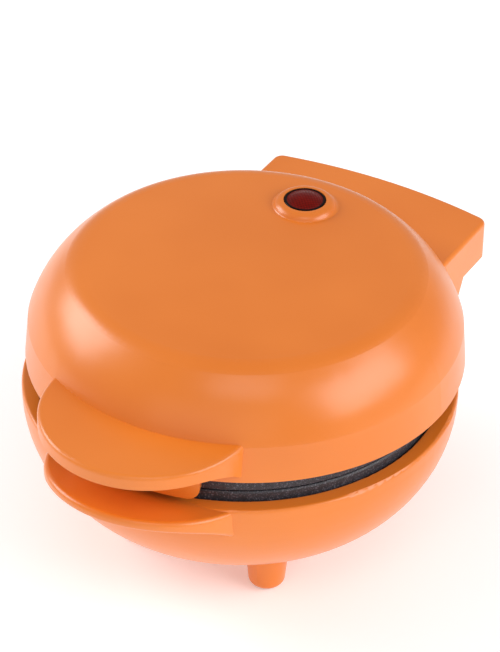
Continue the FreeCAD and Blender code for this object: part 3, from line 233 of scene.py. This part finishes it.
def redLens():
    # diamond facets pressed into clear red plastic, with painted glints on the facet crests, painted shade in the
    # facet grooves and a near-black edge band painted as the shadow of the gap round the lens
    look = lensLook
    finish = Finish("redLens", IOR=1.45, Specular_IOR_Level=look["specular"])
    parts = finish.node("ShaderNodeSeparateXYZ", None, {0: finish.place})
    alongX = parts - lensX
    alongY = finish.second(parts) - lensY
    out = (alongX * alongX + alongY * alongY) ** 0.5
    rimInside = lensRadius - look["rimWidth"]
    # mask of the outer band of the lens, which is painted near black as the shadow of the gap round the lens
    rim = finish.spread(out, rimInside - look["rimFade"], rimInside)
    zigzag = {"operation": "PINGPONG"}
    oneWay = finish.node("ShaderNodeMath", zigzag, {0: alongX + alongY, 1: look["facet"]})
    otherWay = finish.node("ShaderNodeMath", zigzag, {0: alongX - alongY, 1: look["facet"]})
    facets = (oneWay + otherWay) / (2 * look["facet"])
    patch = finish.noise(look["patch"], detail=2)
    # facet pattern with random patches mixed in: brighter facet crests are painted glints, darker grooves painted
    # shade, the patches a random tone
    glintAndPatch = facets * look["facetShare"] + patch * look["patchShare"]
    colour = finish.blend(glintAndPatch, look["facetShade"], look["glow"])
    # the outer band takes the near-black red: painted shadow of the gap round the lens
    finish.give(Base_Color=finish.blend(rim, colour, look["rim"]),
                Roughness=look["rough"] + finish.noise(look["roughPatch"], detail=2) * look["roughSwing"],
                Normal=finish.bump(facets * (1 - rim), look["facetDepth"], look["facetStrength"]))
    return finish.material


rubberLook = {
    "dark": linear(24, 24, 25), "pale": linear(44, 43, 42), "patch": 0.002, "grain": 0.0003,
    "rough": 0.78, "roughSwing": 0.15, "grainDepth": 0.00005, "grainStrength": 0.6,
}


def padRubber():
    look = rubberLook
    finish = Finish("padRubber")
    grain = finish.noise(look["grain"])
    finish.give(Base_Color=finish.blend(finish.noise(look["patch"]), look["dark"], look["pale"]),
                Roughness=look["rough"] + grain * look["roughSwing"],
                Normal=finish.bump(grain, look["grainDepth"], look["grainStrength"]))
    return finish.material


mouldingLook = {
    "grain": 0.0005, "patch": 0.004, "tint": 1.25, "tintLift": 0.004, "roughSwing": 0.2,
    "grainDepth": 0.00004, "grainStrength": 0.5,
}


def mouldedPlastic(name, colour, rough):
    look = mouldingLook
    finish = Finish(name)
    grain = finish.noise(look["grain"])
    paler = tuple(min(1, part * look["tint"] + look["tintLift"]) for part in colour[:3]) + (1.0,)
    finish.give(Base_Color=finish.blend(finish.noise(look["patch"], detail=4), colour, paler),
                Roughness=rough + (grain - 0.5) * look["roughSwing"],
                Normal=finish.bump(grain, look["grainDepth"], look["grainStrength"]))
    return finish.material


metalLook = {
    "line": 0.004, "stain": 0.009, "stainLevels": (0.42, 0.7), "dull": 0.72, "lineSwing": 0.22,
    "stainSwing": 0.15, "lineDepth": 0.00003, "lineStrength": 0.35,
    "rolled": (1, 30, 1), "turned": (12, 12, 1),
}


def sheetMetal(name, colour, rough, along):
    # rolling or turning lines under a light stain
    look = metalLook
    finish = Finish(name, Metallic=1.0)
    lines = finish.noise(look["line"], detail=4, place=finish.stretched(look[along]))
    stain = finish.noise(look["stain"], detail=5)
    dull = tuple(part * look["dull"] for part in colour[:3]) + (1.0,)
    roughness = rough + (lines - 0.5) * look["lineSwing"] + (stain - 0.5) * look["stainSwing"]
    finish.give(Base_Color=finish.blend(finish.spread(stain, *look["stainLevels"]), colour, dull),
                Roughness=roughness,
                Normal=finish.bump(lines, look["lineDepth"], look["lineStrength"]))
    return finish.material


heaterLook = {
    "heat": 0.014, "grain": 0.0006, "rough": 0.42, "roughSwing": 0.3,
    "grainDepth": 0.00004, "grainStrength": 0.5,
    "temper": [(0.3, linear(70, 62, 58)), (0.45, linear(96, 80, 66)),
               (0.58, linear(74, 70, 82)), (0.7, linear(54, 50, 50))],
}


def heaterSheath():
    # steel tube, browned and blued by its own heat
    look = heaterLook
    finish = Finish("heaterSheath", Metallic=1.0)
    heat = finish.noise(look["heat"], detail=5)
    colour = finish.node("ShaderNodeValToRGB", {"stops": look["temper"]}, {"Fac": heat})
    grain = finish.noise(look["grain"], detail=4)
    finish.give(Base_Color=colour, Roughness=look["rough"] + (grain - 0.5) * look["roughSwing"],
                Normal=finish.bump(grain, look["grainDepth"], look["grainStrength"]))
    return finish.material


sleeveLook = {
    "dark": linear(170, 164, 146), "pale": linear(226, 220, 200), "yarns": 260.0, "wander": 1.2,
    "rough": 0.85, "roughSwing": 0.1, "weaveDepth": 0.0002, "weaveStrength": 0.8,
}


def wovenSleeve():
    # two sets of slanted yarns that cross
    look = sleeveLook
    finish = Finish("wovenSleeve")

    def yarns(place):
        inputs = {"Vector": place, "Scale": look["yarns"], "Distortion": look["wander"]}
        return finish.node("ShaderNodeTexWave", {"wave_type": "BANDS", "bands_direction": "DIAGONAL"},
                           inputs, out="Fac")

    weave = yarns(finish.place) * yarns(finish.stretched((1, -1, 1)))
    finish.give(Base_Color=finish.blend(weave, look["dark"], look["pale"]),
                Roughness=look["rough"] - weave * look["roughSwing"],
                Normal=finish.bump(weave, look["weaveDepth"], look["weaveStrength"]))
    return finish.material


finishes = {
    "shell": orangeShell(),
    "baking_plate": plateCoating(),
    "pads": padRubber(),
    "heater": heaterSheath(),
    "sheet_metal": sheetMetal("reflectorSheet", linear(205, 206, 208), 0.3, "rolled"),
    "screws": sheetMetal("screwSteel", linear(196, 196, 200), 0.26, "turned"),
    "brass": sheetMetal("terminalBrass", linear(206, 168, 88), 0.3, "turned"),
    "lens": redLens(),
    "lamp_glass": mouldedPlastic("lampGlass", linear(214, 196, 178), 0.15),
    "gland": mouldedPlastic("glandPlastic", linear(30, 30, 32), 0.5),
    "plated_steel": sheetMetal("platedSteel", linear(186, 187, 190), 0.32, "rolled"),
    "sleeve": wovenSleeve(),
    "moulding": mouldedPlastic("heatproofMoulding", linear(214, 208, 192), 0.5),
}
slotOf = {entry["node"]: entry["material_slot"] for entry in frame["record"]["subparts"]}
for name, thing in nodes.items():
    thing.data.materials.clear()
    thing.data.materials.append(finishes[slotOf[name]])
evenLook = {"pieces": ("upper_housing", "lower_housing"), "weight": 100}
for name in evenLook["pieces"]:
    # broad faces rule the shading beside the narrow ones of their roundings
    even = nodes[name].modifiers.new("evenShading", "WEIGHTED_NORMAL")
    even.keep_sharp = True
    even.weight = evenLook["weight"]
print("finishes made:", len(finishes))


def makeLens():
    # smooth bead round a low dome, drawn ring by ring from the rim inwards
    look = lensLook
    edge = lensHigh[2] - look["edgeDrop"]
    turns = look["turns"]
    profile = [(lensRadius, lensLow[2]), (lensRadius, edge)]
    for inwards, upwards in look["beadProfile"]:
        profile.append((lensRadius - look["bead"] * inwards, edge + look["beadRise"] * upwards))
    domeRadius, domeFoot = profile[-1]
    domeTop = lensHigh[2] - look["crownDrop"]
    domeRise = domeTop - domeFoot
    for step in range(1, look["rings"]):
        radius = domeRadius * (1 - step / look["rings"])
        profile.append((radius, domeFoot + domeRise * (1 - (radius / domeRadius) ** 2)))
    mesh = bmesh.new()
    rings = []
    for radius, height in profile:
        ring = []
        for turn in range(turns):
            angle = 2 * math.pi * turn / turns
            spot = (lensX + radius * math.cos(angle), lensY + radius * math.sin(angle), height)
            ring.append(mesh.verts.new(spot))
        rings.append(ring)
    for outer, inner in zip(rings, rings[1:]):
        for turn in range(turns):
            after = (turn + 1) % turns
            mesh.faces.new((outer[turn], outer[after], inner[after], inner[turn])).smooth = True
    crown = mesh.verts.new((lensX, lensY, domeTop))
    for turn in range(turns):
        mesh.faces.new((rings[-1][turn], rings[-1][(turn + 1) % turns], crown)).smooth = True
    mesh.normal_update()
    data = bpy.data.meshes.new("lensDome")
    mesh.to_mesh(data)
    mesh.free()
    lens = bpy.data.objects.new("lensDome", data)
    bpy.context.collection.objects.link(lens)
    data.materials.append(finishes["lens"])
    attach(lens, "lid")
    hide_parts("indicator_lens")


makeLens()
print("lens made")


floorFacts = {
    "size": 6, "below": 0.0002, "pale": linear(250, 251, 252), "shade": linear(244, 246, 247),
    "patch": 0.4, "rough": 0.8, "glow": 0.25,
}


def makeFloor():
    facts = floorFacts
    bpy.ops.mesh.primitive_plane_add(size=facts["size"], location=(0, 0, -facts["below"]))
    floor = bpy.context.object
    floor.name = "studioFloor"
    finish = Finish("paleFloor", Emission_Strength=facts["glow"])
    pale = finish.blend(finish.noise(facts["patch"], detail=2), facts["shade"], facts["pale"])
    finish.give(Base_Color=pale, Emission_Color=pale, Roughness=facts["rough"])
    floor.data.materials.append(finish.material)


lamps = {
    "sideLeft": {"at": (-0.90, -0.16, 0.55), "size": (0.62, 0.55), "power": 6.6},
    "sideRight": {"at": (0.86, 0.10, 0.52), "size": (0.8, 0.5), "power": 6.0},
    "frontTop": {"at": (0.35, -0.63, 0.96), "size": (0.6, 0.35), "power": 1.5},
    "frontFill": {"at": (0.25, -1.0, 0.42), "size": (1.3, 0.5), "power": 1.1},
}
lampAim = Vector((0, 0, 0.05))
skyStrength = 0.43


def makeLamp(name, facts):
    data = bpy.data.lights.new(name, "AREA")
    data.shape = "RECTANGLE"
    data.size, data.size_y = facts["size"]
    data.energy = facts["power"]
    lamp = bpy.data.objects.new(name, data)
    lamp.location = facts["at"]
    lamp.rotation_euler = (lampAim - lamp.location).to_track_quat("-Z", "Y").to_euler()
    bpy.context.collection.objects.link(lamp)


def makeWorld():
    bpy.context.scene.view_settings.view_transform = "Standard"
    world = bpy.data.worlds.new("studio")
    world.use_nodes = True
    sky = world.node_tree.nodes["Background"]
    sky.inputs["Color"].default_value = (1, 1, 1, 1)
    sky.inputs["Strength"].default_value = skyStrength
    bpy.context.scene.world = world


# angles in degrees, lens and sensor in millimetres, the rest in metres
cameraFacts = {
    "turn": 29.34, "lift": 36.87, "roll": 1.03, "distance": 0.9, "lens": 170.3, "sensor": 36,
    "hingeToMiddle": 0.062, "height": 0.04, "aimRight": 0.00256, "aimUp": 0.02368, "clip": (0.05, 20),
}


def makeCamera():
    facts = cameraFacts
    turn, lift = math.radians(facts["turn"]), math.radians(facts["lift"])
    back = Vector((math.sin(turn) * math.cos(lift), -math.cos(turn) * math.cos(lift), math.sin(lift)))
    right = Vector((math.cos(turn), math.sin(turn), 0))
    up = back.cross(right)
    middle = Vector((0, frame["joints"][0]["pos_m"][1] - facts["hingeToMiddle"], facts["height"]))
    spot = middle + back * facts["distance"]
    aim = middle + right * facts["aimRight"] + up * facts["aimUp"]
    away = (spot - aim).normalized()
    roll = math.radians(facts["roll"])
    side = right * math.cos(roll) + up * math.sin(roll)
    side = (side - away * side.dot(away)).normalized()
    data = bpy.data.cameras.new("studioCamera")
    data.lens = facts["lens"]
    data.sensor_width = facts["sensor"]
    data.clip_start, data.clip_end = facts["clip"]
    camera = bpy.data.objects.new("studioCamera", data)
    facing = Matrix((side, away.cross(side), away)).transposed().to_4x4()
    camera.matrix_world = Matrix.Translation(spot) @ facing
    bpy.context.collection.objects.link(camera)
    bpy.context.scene.camera = camera


makeFloor()
for name, facts in lamps.items():
    makeLamp(name, facts)
makeWorld()
makeCamera()
print("stage set")
